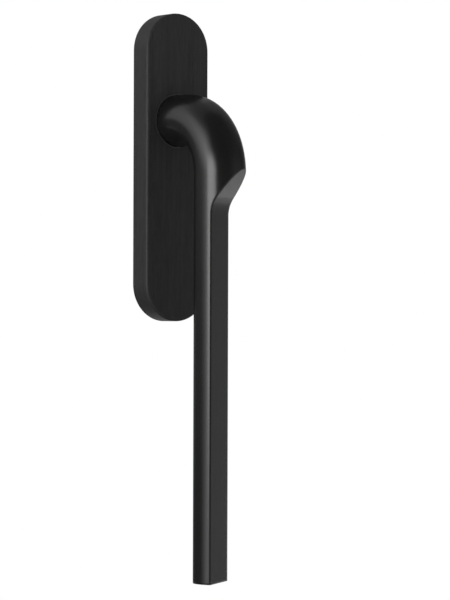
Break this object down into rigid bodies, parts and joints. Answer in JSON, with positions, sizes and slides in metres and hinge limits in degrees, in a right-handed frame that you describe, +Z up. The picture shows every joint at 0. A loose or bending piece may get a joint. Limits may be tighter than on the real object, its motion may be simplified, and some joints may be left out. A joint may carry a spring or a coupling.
{
  "type": "lift and slide door handle",
  "caption": "Lift and slide door lever: a round rod bends down from a long oval plate and is cut to a flat-faced half-round grip, satin black.",
  "frame": {"origin": "on the spindle axis, at the door's surface where the plate's back lies", "axes": "+Y along the spindle into the door, +Z up the plate, -Y out into the room, +X to the right as seen from the room"},
  "size_m": [0.046, 0.0982, 0.348],
  "materials": {
    "satin_black": "satin black coat on cast aluminium",
    "brushed_black": "fine vertical brushing under a black coat",
    "zinc_steel": "zinc-plated steel",
    "spring_steel": "blued spring steel",
    "die_cast_zinc": "bare zinc die casting",
    "acetal": "natural acetal",
    "black_plastic": "black moulded plastic",
    "foam": "closed-cell foam"
  },
  "bodies": {
    "plate": {"front_bush": "acetal", "rear_bush": "acetal", "stop_pins": "zinc_steel", "base_plate": "die_cast_zinc", "cover_plate": "brushed_black", "neck_collar": "black_plastic", "cover_clips": "spring_steel", "clip_screws": "zinc_steel", "support_sleeves": "zinc_steel", "fixing_screws": "zinc_steel", "lock_washers": "spring_steel", "damping_pads": "foam", "back_seal": "foam"},
    "lever": {"lever": "satin_black", "spindle": "zinc_steel", "grub_screw": "zinc_steel", "stop_disc": "zinc_steel", "disc_spring": "spring_steel", "cap_washer": "zinc_steel", "retaining_ring": "spring_steel"}
  },
  "joints": [
    {"name": "lever_turn", "type": "hinge", "parent": "plate", "child": "lever", "pos_m": [0, 0, 0], "axis": [0, -1, 0], "range_deg": [0, 180]}
  ]
}
